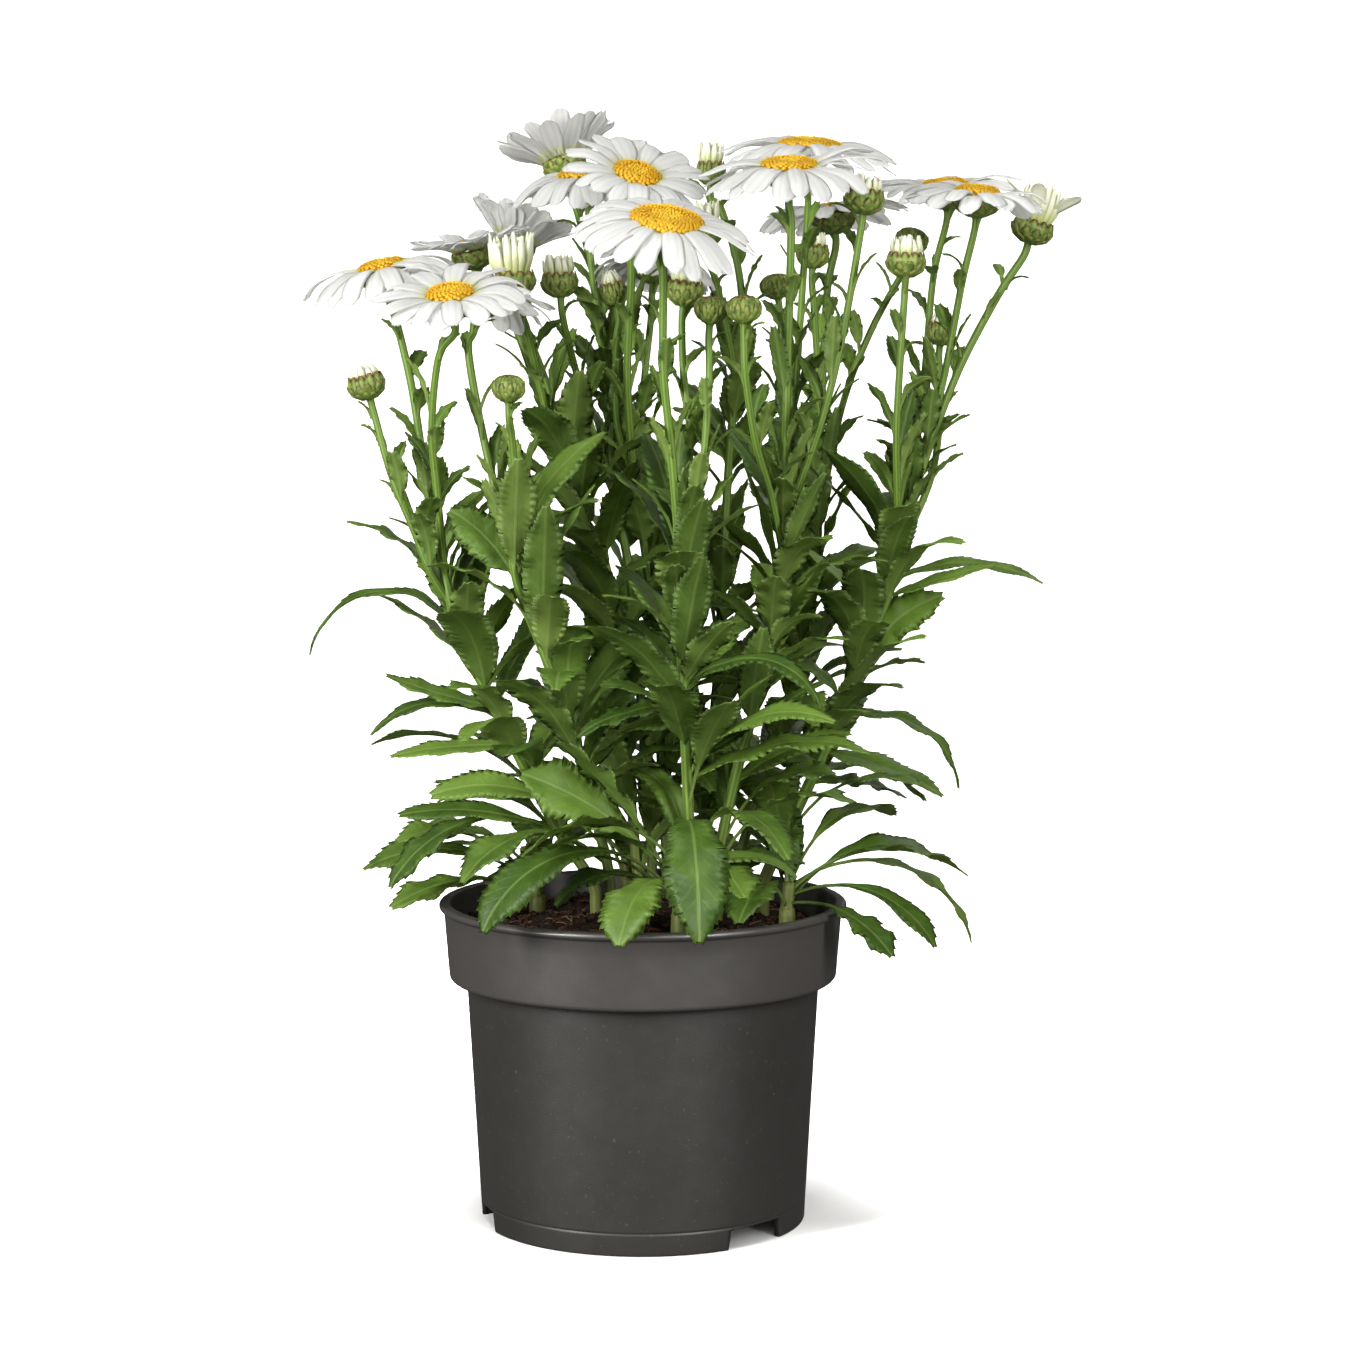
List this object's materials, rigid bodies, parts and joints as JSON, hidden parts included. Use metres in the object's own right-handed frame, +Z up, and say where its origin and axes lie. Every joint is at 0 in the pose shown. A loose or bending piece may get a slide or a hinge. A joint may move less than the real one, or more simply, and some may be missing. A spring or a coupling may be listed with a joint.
{
  "type": "potted flowering plant",
  "caption": "Shasta daisy in flower in a round collared nursery pot: leafy stems rise from the soil to white petalled blooms with yellow discs, and green buds.",
  "frame": {"origin": "centre of the pot's foot, on the plane the pot stands on", "axes": "+Z up along the pot's axis, -Y towards the side seen in the picture"},
  "size_m": [0.3571, 0.3093, 0.5182],
  "materials": {
    "pot": "anthracite moulded plastic, satin, with a faint fine grain",
    "soil": "damp dark brown peat with fibres and bark chips, matt",
    "foliage": "mid-green leaf with a soft waxy sheen, lighter on stems and ribs",
    "petals": "white petal, soft and matt, with shallow lengthwise grooves",
    "disc": "orange-yellow florets, greener towards the middle, matt",
    "bud_petals": "pale green-white unopened petals, soft and matt"
  },
  "bodies": {
    "root": {"pot": "pot", "soil": "soil", "leafy_stem_01": "foliage", "leafy_stem_02": "foliage", "leafy_stem_03": "foliage", "leafy_stem_04": "foliage", "leafy_stem_05": "foliage", "leafy_stem_06": "foliage", "leafy_stem_07": "foliage", "leafy_stem_08": "foliage", "leafy_stem_09": "foliage", "leafy_stem_10": "foliage", "leafy_stem_11": "foliage", "leafy_stem_12": "foliage", "leafy_stem_13": "foliage", "leafy_stem_14": "foliage", "bloom_01_petals": "petals", "bloom_01_disc": "disc", "bloom_02_petals": "petals", "bloom_02_disc": "disc", "bloom_03_petals": "petals", "bloom_03_disc": "disc", "bloom_04_petals": "petals", "bloom_04_disc": "disc", "bloom_05_petals": "petals", "bloom_05_disc": "disc", "bloom_06_petals": "petals", "bloom_06_disc": "disc", "bloom_07_petals": "petals", "bloom_07_disc": "disc", "bloom_08_petals": "petals", "bloom_08_disc": "disc", "bloom_09_petals": "petals", "bloom_09_disc": "disc", "bloom_10_petals": "petals", "bloom_10_disc": "disc", "bloom_11_petals": "petals", "bloom_11_disc": "disc", "bloom_12_petals": "petals", "bloom_12_disc": "disc", "bloom_13_petals": "petals", "bloom_13_disc": "disc", "bloom_14_petals": "petals", "bloom_14_disc": "disc", "bloom_15_petals": "petals", "bloom_15_disc": "disc", "bud_01_petals": "bud_petals", "bud_02_petals": "bud_petals", "bud_03_petals": "bud_petals", "bud_04_petals": "bud_petals", "bud_05_petals": "bud_petals", "bud_06_petals": "bud_petals", "bud_07_petals": "bud_petals", "bud_08_petals": "bud_petals", "bud_09_petals": "bud_petals", "bud_10_petals": "bud_petals", "bud_11_petals": "bud_petals", "bud_12_petals": "bud_petals"}
  },
  "joints": []
}
